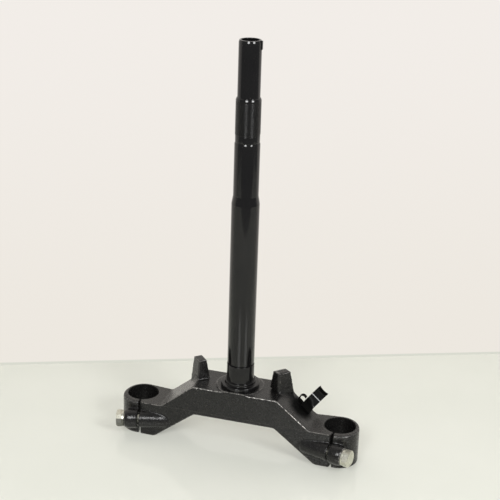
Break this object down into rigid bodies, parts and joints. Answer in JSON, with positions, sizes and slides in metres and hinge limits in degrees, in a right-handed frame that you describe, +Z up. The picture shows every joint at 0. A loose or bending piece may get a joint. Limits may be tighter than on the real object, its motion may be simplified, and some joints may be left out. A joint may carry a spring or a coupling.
{
  "type": "triple clamp lower yoke",
  "caption": "Cast lower fork yoke with a tall steering stem, seat ring, stop lugs, hose guide and split fork clamps closed by pinch bolts.",
  "frame": {"origin": "on the steering axis, at the shoulder of the seat ring that carries the lower steering bearing", "axes": "+Z up along the steering stem; X along the yoke, with the hose guide on the +X arm; -Y towards the front, where the clamps are slit"},
  "size_m": [0.2602, 0.0648, 0.4303],
  "materials": {
    "cast_black": "satin black paint over a cast skin, worn brighter along the edges",
    "stem_black": "gloss black paint",
    "guide_black": "satin black paint",
    "bolt_zinc": "bright zinc plating"
  },
  "bodies": {
    "root": {"lower_yoke": "cast_black", "steering_stem": "stem_black", "seat_ring": "stem_black", "hose_guide": "guide_black", "clamp_bolt_left": "bolt_zinc", "clamp_bolt_right": "bolt_zinc", "spring_washer_left": "bolt_zinc", "spring_washer_right": "bolt_zinc"}
  },
  "joints": []
}
